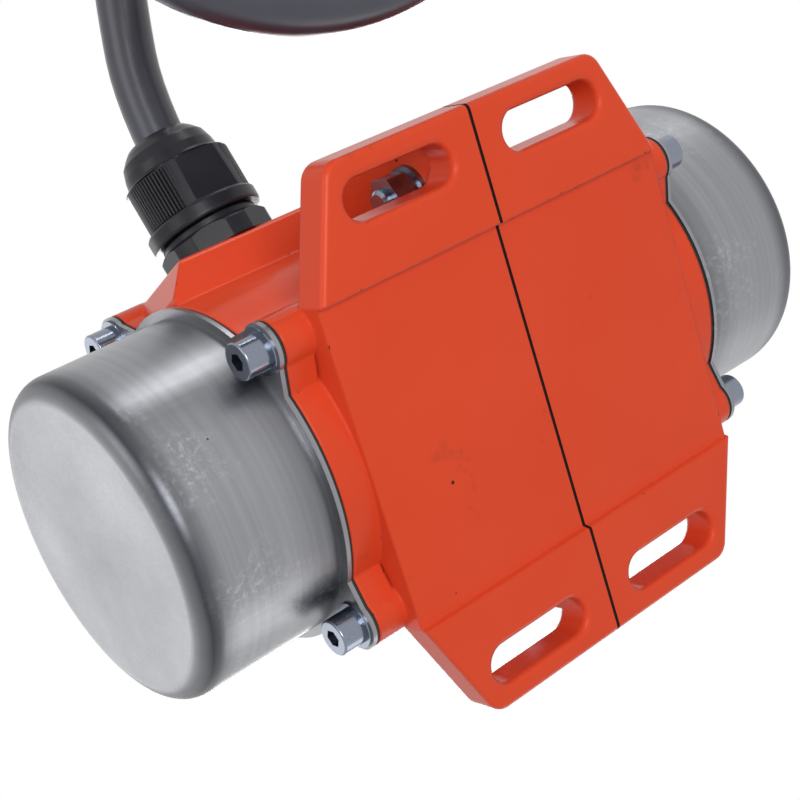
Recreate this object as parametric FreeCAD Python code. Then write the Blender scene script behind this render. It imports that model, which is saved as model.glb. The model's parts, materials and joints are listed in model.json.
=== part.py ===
"""Small single-phase vibration motor: two die-cast housing halves bolted together round a
squirrel-cage motor, with eccentric weights on both shaft ends under drawn steel caps.

Frame: millimetres, Z = 0 is the mounting face of the four feet, X runs along the shaft with
+X towards the end with the cable gland, +Y is the gland's side. The origin is the centre of the
mounting face.
"""
import FreeCAD
import Part
import math
import os

os.makedirs("parts", exist_ok=True)
V = FreeCAD.Vector

# ---- driving dimensions -------------------------------------------------------------------
BASE_HALF = 42.0            # base plate, half length along the shaft
FOOT_END_HALF = 32.6        # the same at the feet's outer edge
FOOT_OUT = 53.0             # outer edge of the feet, from the shaft's plane
CREASE = 30.75              # inner edge of the raised pads
RECESS = 1.6                # depth of the relief between the pads
FOOT_T = 8.0                # thickness of the feet
SLOT_X, SLOT_Y = 18.75, 45.0
SLOT_LEN, SLOT_W = 24.5, 7.5
SHAFT_Z = 36.0              # shaft height
BARREL_R = 33.4             # barrel and bell
BELL_X = 48.4               # machined end of the bell
EAR_PCD_R, EAR_R = 37.4, 5.0
EAR_ANGLES = (45, 135, 225, 315)
GASKET_T = 0.7
CAP_T = 0.9                 # cap sheet
CAP_R = 31.8
CAP_END = 79.5
CAP_CORNER = 4.2
STATOR_R, STATOR_HALF = 28.5, 16.0
WINDING_R = 26.8            # room for the end turns
WALL_X = 33.0               # inner face of the bearing wall
SEAT_END = 46.0             # shoulder behind the bearing
BRG_OD, BRG_ID, BRG_W = 35.0, 15.0, 11.0
SPRING_T = 0.8              # wave spring behind the far bearing
SHAFT_END = 73.0
GLAND_X = 26.9
GLAND_TILT = 24.0           # gland axis above the horizontal
GLAND_SEAT = 39.2           # flat of the gland platform, from the shaft's axis
PLATFORM_HALF = 11.8
CABLE_D = 10.0

AXIS = V(0, 0, SHAFT_Z)
EX, EY, EZ = V(1, 0, 0), V(0, 1, 0), V(0, 0, 1)


# ---- small tools --------------------------------------------------------------------------
def cyl(r, x0, x1, y=0.0, z=SHAFT_Z):
    """Cylinder along X."""
    return Part.makeCylinder(r, x1 - x0, V(x0, y, z), EX)


def ring(ro, ri, x0, x1, y=0.0, z=SHAFT_Z):
    return cyl(ro, x0, x1, y, z).cut(cyl(ri, x0 - 1, x1 + 1, y, z))


def box(x0, x1, y0, y1, z0, z1):
    return Part.makeBox(x1 - x0, y1 - y0, z1 - z0, V(x0, y0, z0))


def prism(points, vector):
    """Extrusion of a closed polygon of (x, y, z) points."""
    face = Part.Face(Part.makePolygon([V(*p) for p in points + points[:1]]))
    return face.extrude(vector)


def revolve_x(points):
    """Solid of revolution about the shaft from (x, radius) points."""
    face = Part.Face(Part.makePolygon([V(x, 0, SHAFT_Z + r) for x, r in points + points[:1]]))
    return face.revolve(AXIS, EX, 360)


def mirror_x(shape):
    return shape.mirror(V(0, 0, 0), EX)


def fuse(shapes):
    out = shapes[0].fuse(shapes[1:]) if len(shapes) > 1 else shapes[0]
    return out.removeSplitter()


def group(shapes):
    return Part.makeCompound(shapes)


def polar(r, deg, x=0.0):
    a = math.radians(deg)
    return V(x, r * math.cos(a), SHAFT_Z + r * math.sin(a))


def radial(deg):
    """Unit vectors pointing out and sideways at an angle about the shaft."""
    t = math.radians(deg)
    return V(0, math.cos(t), math.sin(t)), V(0, -math.sin(t), math.cos(t))


def hexagon(flats, x0, x1, y, z):
    """Hexagonal prism along X with its corners up and down."""
    r = flats / math.sqrt(3)
    pts = [(x0, y + r * math.sin(math.radians(60 * k)), z + r * math.cos(math.radians(60 * k)))
           for k in range(6)]
    return prism(pts, V(x1 - x0, 0, 0))


def fillet_where(shape, radius, test):
    edges = [e for e in shape.Edges if test(e)]
    return shape.makeFillet(radius, edges) if edges else shape


def export(name, shape):
    if not shape.isValid():
        print("INVALID", name)
    shape.exportStep("parts/%s.step" % name)
    solids = shape.Solids
    print("%-26s solids %2d  volume %9.1f" % (name, len(solids), sum(s.Volume for s in solids)))


# ---- housing halves -----------------------------------------------------------------------
LUG_LOW = [(s * 40.0, 14.6) for s in (1, -1)]          # joint bolts beside the feet (y, z)
LUG_TOP = [(s * 26.9, SHAFT_Z + 26.9) for s in (1, -1)]  # joint bolts above, in line with the ears
LUG_R = 6.0
LUG_T = 6.5                 # thickness of each half's joint lug
WEB_OUT = 49.6              # outer edge of the tall web under the gland
BOLT_R = 2.5
BOLT_HOLE_R = 2.75


def base_plate():
    """One half of the base: plate with tapered feet, relief between the pads, lead-in slots."""
    outline = [(0, -FOOT_OUT, 0), (FOOT_END_HALF, -FOOT_OUT, 0), (BASE_HALF, -CREASE, 0),
               (BASE_HALF, CREASE, 0), (FOOT_END_HALF, FOOT_OUT, 0), (0, FOOT_OUT, 0)]
    plate = prism(outline, V(0, 0, FOOT_T))

    def corner(e):
        return abs(e.CenterOfMass.x - FOOT_END_HALF) < 0.1 and e.BoundBox.ZLength > FOOT_T - 0.1
    plate = fillet_where(plate, 4.0, corner)

    def rim(e):
        b = e.BoundBox
        return b.ZLength < 0.01 and b.XMax > 0.01 and not (b.XMax < BASE_HALF + 0.1 and b.XLength < 0.01
                                                           and b.YLength > 50)
    plate = fillet_where(plate, 1.2, rim)
    draft = 0.4
    relief = prism([(-1, -CREASE, 0), (-1, -CREASE + draft, RECESS), (-1, CREASE - draft, RECESS),
                    (-1, CREASE, 0)], V(BASE_HALF + 2, 0, 0))
    plate = plate.cut(relief)
    for s in (1, -1):
        plate = plate.cut(slot_tool(SLOT_X, s * SLOT_Y))
    return plate


def slot_tool(x, y):
    """Cutter for a slot with rounded lead-in edges on both faces."""
    half, r = SLOT_LEN / 2 - SLOT_W / 2, SLOT_W / 2

    def stadium(grow, z):
        rr = r + grow
        a, b = V(x - half, y - rr, z), V(x + half, y - rr, z)
        c, d = V(x + half, y + rr, z), V(x - half, y + rr, z)
        wire = Part.Wire([Part.LineSegment(a, b).toShape(),
                          Part.Arc(b, V(x + half + rr, y, z), c).toShape(),
                          Part.LineSegment(c, d).toShape(),
                          Part.Arc(d, V(x - half - rr, y, z), a).toShape()])
        return wire
    through = Part.Face(stadium(0, -1)).extrude(V(0, 0, FOOT_T + 2))
    lead = 1.1
    mouth = [Part.makeLoft([stadium(lead, z0), stadium(lead * 0.3, z1), stadium(0, z2)], True, True)
             for z0, z1, z2 in ((0, lead * 0.35, lead), (FOOT_T, FOOT_T - lead * 0.35, FOOT_T - lead))]
    return through.fuse(mouth)


def ear_plate(radius, ear, x0, x1):
    """Flat disc with four ears."""
    depth = V(x1 - x0, 0, 0)
    parts = [cyl(radius, x0, x1)]
    for a in EAR_ANGLES:
        c = polar(EAR_PCD_R, a, x0)
        parts.append(cyl(ear, x0, x1, c.y, c.z))
        out, side = radial(a)
        foot = AXIS + EX * x0 + out * (radius - 6.0)
        wide = side * (ear + 5.5)
        quad = [foot + wide, c + side * ear, c - side * ear, foot - wide]
        parts.append(Part.Face(Part.makePolygon(quad + quad[:1])).extrude(depth))
    return fuse(parts)


def tapered_boss(y, z, r0, r1, x0, x1):
    return Part.makeCone(r0, r1, x1 - x0, V(x0, y, z), EX)


def gland_block():
    """Raised platform on the flank, flat and square to the gland's axis, rounded at its ends."""
    out, side = radial(GLAND_TILT)
    x0, x1, low = LUG_T - 0.5, 42.0, 22.0
    start = AXIS - side * PLATFORM_HALF
    pts = [start + EX * x0 + out * low, start + EX * x0 + out * GLAND_SEAT,
           start + EX * x1 + out * GLAND_SEAT, start + EX * (x1 + 5.5) + out * (GLAND_SEAT - 6.5),
           start + EX * (x1 + 5.5) + out * low]
    block = Part.Face(Part.makePolygon(pts + pts[:1])).extrude(side * 2 * PLATFORM_HALF)

    def outer(e):
        c = e.CenterOfMass - AXIS
        return c.dot(out) > GLAND_SEAT - 0.1 and c.x > x0 + 1
    return fillet_where(block, 1.5, outer)


def bore_along_gland(r, d0, d1):
    out = radial(GLAND_TILT)[0]
    return Part.makeCylinder(r, d1 - d0, V(GLAND_X, 0, SHAFT_Z) + out * d0, out)


def joint_lug(y, z, low):
    """Lug of a joint bolt: a round pad and the web that carries it."""
    pad = cyl(LUG_R, 0, LUG_T, y, z)
    s = 1 if y > 0 else -1
    if low and s > 0:                          # on the gland's side the web runs up to its platform
        web = prism([(0, 24, FOOT_T - 1), (0, WEB_OUT, FOOT_T - 1), (0, WEB_OUT, z + 2),
                     (0, WEB_OUT - 4.5, z + 19), (0, WEB_OUT - 9, z + 26),
                     (0, 24, z + 28)], V(LUG_T, 0, 0))
    elif low:
        web = prism([(0, s * 24, FOOT_T - 1), (0, s * (abs(y) + LUG_R), FOOT_T - 1),
                     (0, s * (abs(y) + LUG_R), z), (0, s * abs(y), z + LUG_R),
                     (0, s * 27, z + LUG_R + 3)], V(LUG_T, 0, 0))
    else:
        out, side = radial(45 if s > 0 else 135)
        c = V(0, y, z)
        quad = [AXIS + out * 26 + side * 11, c + side * LUG_R, c - side * LUG_R,
                AXIS + out * 26 - side * 11]
        web = Part.Face(Part.makePolygon(quad + quad[:1])).extrude(V(LUG_T, 0, 0))
    return [pad, web]


def housing(gland_side):
    """Housing half on the +X side of the joint."""
    solids = [base_plate(), cyl(BARREL_R, 0, BELL_X), ear_plate(BARREL_R, EAR_R, BELL_X - 6, BELL_X)]
    for a in EAR_ANGLES:
        c = polar(EAR_PCD_R, a)
        solids.append(tapered_boss(c.y, c.z, EAR_R - 1.0, EAR_R, BELL_X - 20, BELL_X - 6))
        out, side = radial(a)
        base = AXIS + EX * (BELL_X - 20) + out * 28
        tip = c + EX * (BELL_X - 20)
        quad = [base + side * 7, tip + side * 4.4, tip - side * 4.4, base - side * 7]
        solids.append(Part.Face(Part.makePolygon(quad + quad[:1])).extrude(V(14, 0, 0)))
    for y, z in LUG_LOW:
        solids += joint_lug(y, z, True)
    for y, z in LUG_TOP:
        solids += joint_lug(y, z, False)
    if gland_side:
        solids.append(gland_block())
    body = fuse(solids)
    # Everything below the mounting face or the relief's floor is cut back.
    relief = prism([(-1, -CREASE, 0), (-1, -CREASE + 0.4, RECESS), (-1, CREASE - 0.4, RECESS),
                    (-1, CREASE, 0)], V(70, 0, 0))
    body = body.cut(fuse([relief, box(-1, 70, -70, 70, -10, 0)]))
    hollow = revolve_x([(-1, 0), (-1, STATOR_R), (STATOR_HALF, STATOR_R), (STATOR_HALF, WINDING_R),
                        (WALL_X, WINDING_R), (WALL_X, BRG_OD / 2), (SEAT_END, BRG_OD / 2),
                        (SEAT_END, 12.5), (BELL_X + 1, 12.5), (BELL_X + 1, 0)])
    body = body.cut(hollow)
    # Ring-shaped pocket outside the bearing wall, divided by ribs.
    pocket = ring(29.4, 21.0, WALL_X + 4.0, BELL_X + 1)
    ribs = [box(WALL_X, BELL_X, -1.4, 1.4, 0, 33).rotated(V(0, 0, 0), EX, 60 * k) for k in range(6)]
    for r in ribs:
        r.translate(AXIS)
    body = body.cut(pocket.cut(fuse(ribs)))
    for a in EAR_ANGLES:
        c = polar(EAR_PCD_R, a)
        body = body.cut(cyl(2.05, BELL_X - 14, BELL_X + 1, c.y, c.z))
    for y, z in LUG_LOW + LUG_TOP:
        body = body.cut(cyl(BOLT_HOLE_R, -1, LUG_T + 6, y, z))
    for y, z in LUG_TOP:                       # room for the bolt's head or nut before the ear
        body = body.cut(cyl(5.6, LUG_T, LUG_T + 14.5, y, z))
    if gland_side:
        body = body.cut(bore_along_gland(8.05, 20, GLAND_SEAT + 3))
    return body.removeSplitter()


# ---- caps, gaskets, screws ------------------------------------------------------------------
def cap():
    """Drawn cap on the +X side: cup with a rounded corner and a flange with four ears."""
    x0 = BELL_X + GASKET_T
    r, c, t = CAP_R, CAP_CORNER, CAP_T
    q = math.sqrt(0.5)

    def meridian(rr, xe, cc, close):
        arc = Part.Arc(V(xe - cc, 0, SHAFT_Z + rr), V(xe - cc + cc * q, 0, SHAFT_Z + rr - cc + cc * q),
                       V(xe, 0, SHAFT_Z + rr - cc)).toShape()
        p0, p1 = V(x0, 0, SHAFT_Z), V(x0, 0, SHAFT_Z + rr)
        return Part.Face(Part.Wire([Part.makeLine(p0, p1), Part.makeLine(p1, V(xe - cc, 0, SHAFT_Z + rr)),
                                    arc, Part.makeLine(V(xe, 0, SHAFT_Z + rr - cc), V(xe, 0, SHAFT_Z)),
                                    Part.makeLine(V(xe, 0, SHAFT_Z), p0)]))
    outer = meridian(r, CAP_END, c, True).revolve(AXIS, EX, 360)
    inner = meridian(r - t, CAP_END - t, c - t, True).revolve(AXIS, EX, 360)
    flange = ear_plate(BARREL_R + 0.2, EAR_R, x0, x0 + t)
    body = fuse([outer, flange]).cut(inner).cut(cyl(r - t, x0 - 1, x0 + 2))
    for a in EAR_ANGLES:
        p = polar(EAR_PCD_R, a)
        body = body.cut(cyl(2.25, x0 - 1, x0 + 3, p.y, p.z))
    return body


def gasket():
    body = ear_plate(BARREL_R - 0.2, EAR_R - 0.2, BELL_X, BELL_X + GASKET_T)
    body = body.cut(cyl(30.0, BELL_X - 1, BELL_X + 2))
    for a in EAR_ANGLES:
        p = polar(EAR_PCD_R, a)
        body = body.cut(cyl(2.25, BELL_X - 1, BELL_X + 3, p.y, p.z))
    return body


def socket_screw(x, y, z, d, length, head_d, head_h, hexagon_af):
    """Socket-head cap screw; x is the underside of its head, the shank runs towards -X."""
    head = cyl(head_d / 2, x, x + head_h, y, z)
    head = fillet_where(head, 0.35, lambda e: abs(e.CenterOfMass.x - x - head_h) < 0.01 and
                        e.BoundBox.ZLength > head_d - 0.5)
    shank = cyl(d / 2, x - length, x, y, z)
    return fuse([head, shank]).cut(hexagon(hexagon_af, x + head_h * 0.4, x + head_h + 1, y, z))


def split_ring(x, y, z, ro, ri, t):
    """Spring lock washer with its gap."""
    return ring(ro, ri, x, x + t, y, z).cut(box(x - 1, x + t + 1, y - 0.35, y + 0.35, z, z + ro + 1))


def cap_fasteners():
    screws, lock, flat = [], [], []
    x = BELL_X + GASKET_T + CAP_T
    for a in EAR_ANGLES:
        p = polar(EAR_PCD_R, a)
        flat.append(ring(4.5, 2.15, x, x + 0.5, p.y, p.z))
        lock.append(split_ring(x + 0.5, p.y, p.z, 3.5, 2.1, 0.9))
        screws.append(socket_screw(x + 1.4, p.y, p.z, 4.0, 14.0, 7.0, 3.8, 3.0))
    return screws, lock, flat


def joint_fasteners():
    """Bolts through both halves: heads on the -X side, lock washers and nuts on the +X side."""
    bolts, nuts, lock, flat = [], [], [], []
    for y, z in LUG_LOW + LUG_TOP:
        flat += [ring(4.9, 2.6, LUG_T, LUG_T + 1.0, y, z), ring(4.9, 2.6, -LUG_T - 1.0, -LUG_T, y, z)]
        lock.append(split_ring(LUG_T + 1.0, y, z, 4.3, 2.6, 1.3))
        nut = hexagon(8.0, LUG_T + 2.3, LUG_T + 6.3, y, z).cut(cyl(BOLT_R + 0.05, 0, 20, y, z))
        nuts.append(nut)
        head = hexagon(8.0, -LUG_T - 1.0 - 3.5, -LUG_T - 1.0, y, z)
        shank = cyl(BOLT_R, -LUG_T - 1.2, LUG_T + 8.0, y, z)
        shank = shank.makeChamfer(0.6, [e for e in shank.Edges
                                        if abs(e.CenterOfMass.x - LUG_T - 8.0) < 0.01])
        bolts.append(fuse([head, shank]))
    return bolts, nuts, lock, flat


# ---- motor ----------------------------------------------------------------------------------
SLOTS = 12
ROTOR_R, AIR_GAP = 14.6, 0.3
BAR_COUNT = 16


def stator_core():
    core = ring(STATOR_R - 0.02, ROTOR_R + AIR_GAP, -STATOR_HALF, STATOR_HALF)
    for k in range(SLOTS):
        a = 360.0 / SLOTS * k
        slot = prism([(-20, -2.2, 17.0), (-20, -3.6, 23.4), (-20, 3.6, 23.4), (-20, 2.2, 17.0)],
                     V(40, 0, 0))
        mouth = box(-20, 20, -0.9, 0.9, 13, 17.5)
        cutter = fuse([slot, mouth]).rotated(V(0, 0, 0), EX, a)
        cutter.translate(AXIS)
        core = core.cut(cutter)
    return core


def stator_winding():
    """Coil sides in the slots joined by the round end turns on both faces of the core."""
    parts = []
    for k in range(SLOTS):
        bar = prism([(-18, -1.9, 17.3), (-18, -3.2, 23.1), (-18, 3.2, 23.1), (-18, 1.9, 17.3)],
                    V(36, 0, 0)).rotated(V(0, 0, 0), EX, 360.0 / SLOTS * k)
        bar.translate(AXIS)
        parts.append(bar)
    for s in (1, -1):
        pts = [(s * 16.6, 17.2), (s * 16.6, 24.4), (s * 21, 25.6), (s * 26, 25.0), (s * 28, 22.5),
               (s * 26.5, 18.5), (s * 21, 17.2)]
        parts.append(revolve_x(pts))
    return fuse(parts)


def rotor_core():
    core = ring(ROTOR_R, 9.0, -STATOR_HALF, STATOR_HALF)
    for k in range(BAR_COUNT):
        p = polar(ROTOR_R - 2.4, 360.0 / BAR_COUNT * k)
        core = core.cut(cyl(1.35, -20, 20, p.y, p.z))
    return core


def rotor_cage():
    """Cast aluminium cage: bars through the core and a short-circuit ring at each end."""
    parts = [ring(ROTOR_R - 0.3, 9.8, s * STATOR_HALF if s > 0 else -STATOR_HALF - 4.0,
                  STATOR_HALF + 4.0 if s > 0 else -STATOR_HALF) for s in (1, -1)]
    for k in range(BAR_COUNT):
        p = polar(ROTOR_R - 2.4, 360.0 / BAR_COUNT * k)
        parts.append(cyl(1.35, -STATOR_HALF - 1, STATOR_HALF + 1, p.y, p.z))
    return fuse(parts)


BRG_X = {1: SEAT_END - BRG_W, -1: -SEAT_END + SPRING_T}   # low-X face of each bearing
WEIGHT_R = 6.5              # shaft radius under the weights


def shaft():
    left, right = BRG_X[-1], BRG_X[1] + BRG_W
    pts = [(-SHAFT_END, 0), (-SHAFT_END, WEIGHT_R - 0.6), (-SHAFT_END + 0.6, WEIGHT_R),
           (left, WEIGHT_R), (left, 7.5), (left + BRG_W, 7.5), (left + BRG_W, 9.0),
           (right - BRG_W, 9.0), (right - BRG_W, 7.5), (right, 7.5), (right, WEIGHT_R),
           (SHAFT_END - 0.6, WEIGHT_R), (SHAFT_END, WEIGHT_R - 0.6), (SHAFT_END, 0)]
    body = revolve_x(pts)
    for s in (1, -1):
        x0 = min(s * CLIP_X, s * (CLIP_X + 1.1))
        body = body.cut(ring(WEIGHT_R + 1, WEIGHT_R - 0.6, x0, x0 + 1.1))
        k0 = min(s * FIXED_X, s * (FIXED_X + FIXED_T))
        body = body.cut(box(k0, k0 + FIXED_T, -2.0, 2.0, SHAFT_Z + WEIGHT_R - 1.5,
                            SHAFT_Z + WEIGHT_R + 3))
    return body


def bearing(x0):
    """Deep-groove ball bearing: rings with raceways, balls and a riveted cage."""
    x1, mid = x0 + BRG_W, x0 + BRG_W / 2
    pitch, ball_r, count = 12.5, 3.0, 8
    outer = ring(BRG_OD / 2 - 0.02, 14.6, x0, x1)
    inner = ring(10.4, BRG_ID / 2 + 0.01, x0, x1)
    groove = Part.makeTorus(pitch, ball_r + 0.04, V(mid, 0, SHAFT_Z), EX)
    outer, inner = outer.cut(groove), inner.cut(groove)
    balls = [Part.makeSphere(ball_r, polar(pitch, 360.0 / count * k, mid)) for k in range(count)]
    cage = ring(13.3, 11.7, mid - 3.9, mid + 3.9)
    for k in range(count):
        cage = cage.cut(Part.makeSphere(ball_r + 0.12, polar(pitch, 360.0 / count * k, mid)))
    return outer, inner, balls, cage


# ---- eccentric weights ------------------------------------------------------------------------
FIXED_X, FIXED_T = 50.5, 8.0
MOVING_X, MOVING_T = 59.0, 8.0
CLIP_X = 68.6
WEIGHT_OUT = 27.5


def weight(x0, t, hole_r, down):
    """Fan-shaped eccentric weight: hub with a sector of 180 degrees on one side."""
    hub = cyl(11.0, x0, x0 + t)
    sign = -1 if down else 1
    disc = cyl(WEIGHT_OUT, x0, x0 + t)
    keep = box(x0 - 1, x0 + t + 1, -40, 40, SHAFT_Z, SHAFT_Z + 40) if sign > 0 else \
        box(x0 - 1, x0 + t + 1, -40, 40, SHAFT_Z - 40, SHAFT_Z)
    sector = disc.common(keep)
    return fuse([hub, sector]).cut(cyl(hole_r, x0 - 1, x0 + t + 1))


def fixed_weight():
    body = weight(FIXED_X, FIXED_T, WEIGHT_R + 0.01, True)
    keyway = box(FIXED_X - 1, FIXED_X + FIXED_T + 1, -2.0, 2.0, SHAFT_Z + WEIGHT_R - 1,
                 SHAFT_Z + WEIGHT_R + 1.6)
    return body.cut(keyway)


def moving_weight():
    """Adjustable weight with a split hub that a screw closes on the shaft."""
    body = weight(MOVING_X, MOVING_T, WEIGHT_R + 0.05, True)
    ears = box(MOVING_X, MOVING_X + MOVING_T, -7.0, 7.0, SHAFT_Z + 8, SHAFT_Z + 17.5)
    body = fuse([body, ears])
    body = body.cut(box(MOVING_X - 1, MOVING_X + MOVING_T + 1, -0.8, 0.8, SHAFT_Z, SHAFT_Z + 20))
    body = body.cut(cyl(WEIGHT_R + 0.05, MOVING_X - 1, MOVING_X + MOVING_T + 1))
    mid = MOVING_X + MOVING_T / 2
    hole = Part.makeCylinder(2.05, 30, V(mid, -15, SHAFT_Z + 13.4), EY)
    seat = Part.makeCylinder(3.7, 6, V(mid, 5.0, SHAFT_Z + 13.4), EY)
    return body.cut(hole).cut(seat)


def clamp_screw():
    mid = MOVING_X + MOVING_T / 2
    z = SHAFT_Z + 13.4
    head = Part.makeCylinder(3.5, 4.0, V(mid, 5.0, z), EY)
    shank = Part.makeCylinder(2.0, 11.5, V(mid, -6.5, z), EY)
    r = 3.0 / math.sqrt(3)
    pts = [(mid + r * math.cos(math.radians(60 * k)), 7.4, z + r * math.sin(math.radians(60 * k)))
           for k in range(6)]
    return fuse([head, shank]).cut(prism(pts, V(0, 3, 0)))


def key():
    return box(FIXED_X + 0.2, FIXED_X + FIXED_T - 0.2, -1.99, 1.99, SHAFT_Z + WEIGHT_R - 1.5,
               SHAFT_Z + WEIGHT_R + 1.5)


def retaining_ring():
    """External circlip in the groove outside the weights."""
    body = ring(9.2, WEIGHT_R - 0.55, CLIP_X + 0.05, CLIP_X + 1.05)
    return body.cut(box(CLIP_X - 1, CLIP_X + 3, -3.0, 3.0, SHAFT_Z, SHAFT_Z + 12))


def thrust_washer():
    return ring(9.5, WEIGHT_R + 0.05, MOVING_X + MOVING_T + 0.3, MOVING_X + MOVING_T + 1.3)


def wave_spring():
    """Wave spring between the far bearing and its shoulder."""
    return ring(17.2, 15.2, -SEAT_END, -SEAT_END + SPRING_T)


# ---- cable gland and cable --------------------------------------------------------------------
def gland_place(shape):
    """Moves a piece drawn up +Z at the origin to the gland's platform."""
    shape = shape.copy()
    shape.rotate(V(0, 0, 0), EX, GLAND_TILT - 90)
    shape.translate(AXIS + EX * GLAND_X + radial(GLAND_TILT)[0] * GLAND_SEAT)
    return shape


def turn_z(points):
    face = Part.Face(Part.makePolygon([V(r, 0, z) for r, z in points + points[:1]]))
    return face.revolve(V(0, 0, 0), EZ, 360)


def gland_hexagon(flats, z0, z1, turn):
    r = flats / math.sqrt(3)
    pts = [V(r * math.cos(math.radians(60 * k + turn)), r * math.sin(math.radians(60 * k + turn)), z0)
           for k in list(range(6)) + [0]]
    return Part.Face(Part.makePolygon(pts)).extrude(V(0, 0, z1 - z0))


HEX_H = 4.4                          # spanner hexagon of the gland's body
NUT_LOW, COLLAR_TOP, FLATS_TOP, DOME_BASE, NUT_TOP = 6.0, 9.2, 18.6, 21.4, 26.0


def gland_body():
    thread = turn_z([(5.6, -10), (7.5, -10), (7.98, -9.3), (7.98, 0), (5.6, 0)])
    hexa = gland_hexagon(22.0, 0, HEX_H, 30)
    hexa = hexa.common(turn_z([(0, 0), (11.6, 0), (11.6, HEX_H - 0.7), (10.9, HEX_H), (0, HEX_H)]))
    neck = turn_z([(5.6, HEX_H - 1), (10.2, HEX_H - 1), (10.2, NUT_LOW - 0.3), (9.1, NUT_LOW),
                   (9.1, 14.0), (5.6, 14.0)])
    body = fuse([thread, hexa, neck])
    return body.cut(Part.makeCylinder(5.6, 40, V(0, 0, -20), EZ))


def gland_nut():
    """Domed cap nut: round collar, six flats, shoulder and dome round the cable."""
    q = [(9.2, NUT_LOW), (11.6, NUT_LOW), (11.8, NUT_LOW + 0.5), (11.8, COLLAR_TOP - 0.5),
         (11.4, COLLAR_TOP), (11.2, FLATS_TOP), (9.9, FLATS_TOP + 0.9), (9.6, DOME_BASE),
         (8.9, DOME_BASE + 2.2), (7.6, NUT_TOP - 0.9), (6.6, NUT_TOP), (5.3, NUT_TOP),
         (5.3, FLATS_TOP + 1.6), (9.2, FLATS_TOP - 2.5)]
    body = turn_z(q)
    band = turn_z([(0, COLLAR_TOP), (14, COLLAR_TOP), (14, FLATS_TOP + 0.2), (0, FLATS_TOP + 0.2)])
    return body.cut(band.cut(gland_hexagon(20.6, 0, 40, 0)))


def gland_seal():
    """Rubber sleeve that the nut squeezes onto the cable."""
    return turn_z([(5.02, 10.5), (5.55, 10.5), (5.55, 14.1), (9.0, 14.1), (9.0, 15.6),
                   (5.6, FLATS_TOP + 1.0), (5.02, FLATS_TOP + 1.0)])


GLAND_DIR = radial(GLAND_TILT)[0]
GLAND_AXIS_AT = AXIS + EX * GLAND_X
# Route of the free cable, from inside the gland over and down to the coil on the floor.
ROUTE = [GLAND_AXIS_AT + GLAND_DIR * 47.0, GLAND_AXIS_AT + GLAND_DIR * 71.0, V(21.5, 88.5, 67.3),
         V(15, 114, 66), V(8, 140, 60), V(5.9, 168.1, 50), V(-9.7, 194.5, 38),
         V(-37.4, 205.3, 25.5), V(-66.1, 196.8, 13.5), V(-85.5, 171.9, 6.5), V(-87.8, 139.7, 5.2),
         V(-71.1, 111.9, 5.2), V(-40, 98.2, 5.2), V(-19.4, 81.4, 5.2)]
COIL_C = V(9.5, 131.5, 0)
COIL_SECTION = [(41, 3.5), (41, 7), (44.5, 10.2), (58, 10.2), (61.7, 7), (61.7, 3.5), (58.5, 0.3),
                (44.5, 0.3)]         # (radius, z) of the two turns on the floor
# Last turn (angle about the coil, radius, z): it climbs onto the others, then leaves outwards.
LAST_TURN = [(75, 46.4, 6.0), (96.9, 47.7, 9.8), (118.4, 48.9, 12.8), (140.7, 50.1, 14.7),
             (165.2, 51.8, 15.4), (189.8, 53.0, 15.4), (214.8, 53.5, 14.8), (239.9, 53.0, 14.2),
             (265, 52.0, 14.2), (290, 52.0, 14.2), (313, 52.0, 14.2), (334, 53.0, 14.6),
             (352, 57.5, 15.2), (9, 65.0, 12.4), (24, 73.5, 8.8)]
PLUG_AT = V(78.3, 182.0, 13.0)       # where the cable enters the plug
PLUG_TURN = -5.0                     # plug's axis from +Y, towards +X


def coil_point(deg, radius, z):
    t = math.radians(deg)
    return COIL_C + V(radius * math.cos(t), radius * math.sin(t), z)


def coil():
    """Outer shape of the wound cable lying on the floor."""
    pts = [COIL_C + V(r, 0, z) for r, z in COIL_SECTION]
    return Part.Face(Part.makePolygon(pts + pts[:1])).revolve(COIL_C, EZ, 360)


def plug_place(shape):
    """Moves a piece drawn along +Y at the origin to where the plug lies."""
    shape = shape.copy()
    shape.rotate(V(0, 0, 0), EZ, PLUG_TURN)
    shape.translate(PLUG_AT)
    return shape


def plug_body():
    """Moulded plug: tapered strain relief and a grip that widens to the pin face."""
    relief = Part.makeCone(5.3, 7.0, 16.0, V(0, 0, 0), EY)

    def outline(y, w, h):
        c = 3.0
        pts = [V(-w + c, y, -h), V(w - c, y, -h), V(w, y, -h + c), V(w, y, h - c), V(w - c, y, h),
               V(-w + c, y, h), V(-w, y, h - c), V(-w, y, -h + c)]
        return Part.Wire(Part.makePolygon(pts + pts[:1]))
    grip = Part.makeLoft([outline(15.0, 8.0, 8.0), outline(30.0, 10.5, 10.5), outline(40.0, 13.0, 12.8)],
                         True, True)
    return fuse([relief, grip])


def plug_pins():
    """Two flat blades and a round earth pin."""
    blades = [Part.makeBox(1.6, 17.0, 6.3, V(s * 6.35 - 0.8, 40.0, -5.0)) for s in (1, -1)]
    earth = Part.makeCylinder(2.4, 19.0, V(0, 40.0, 8.0), EY)
    return group(blades + [earth])


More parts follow.
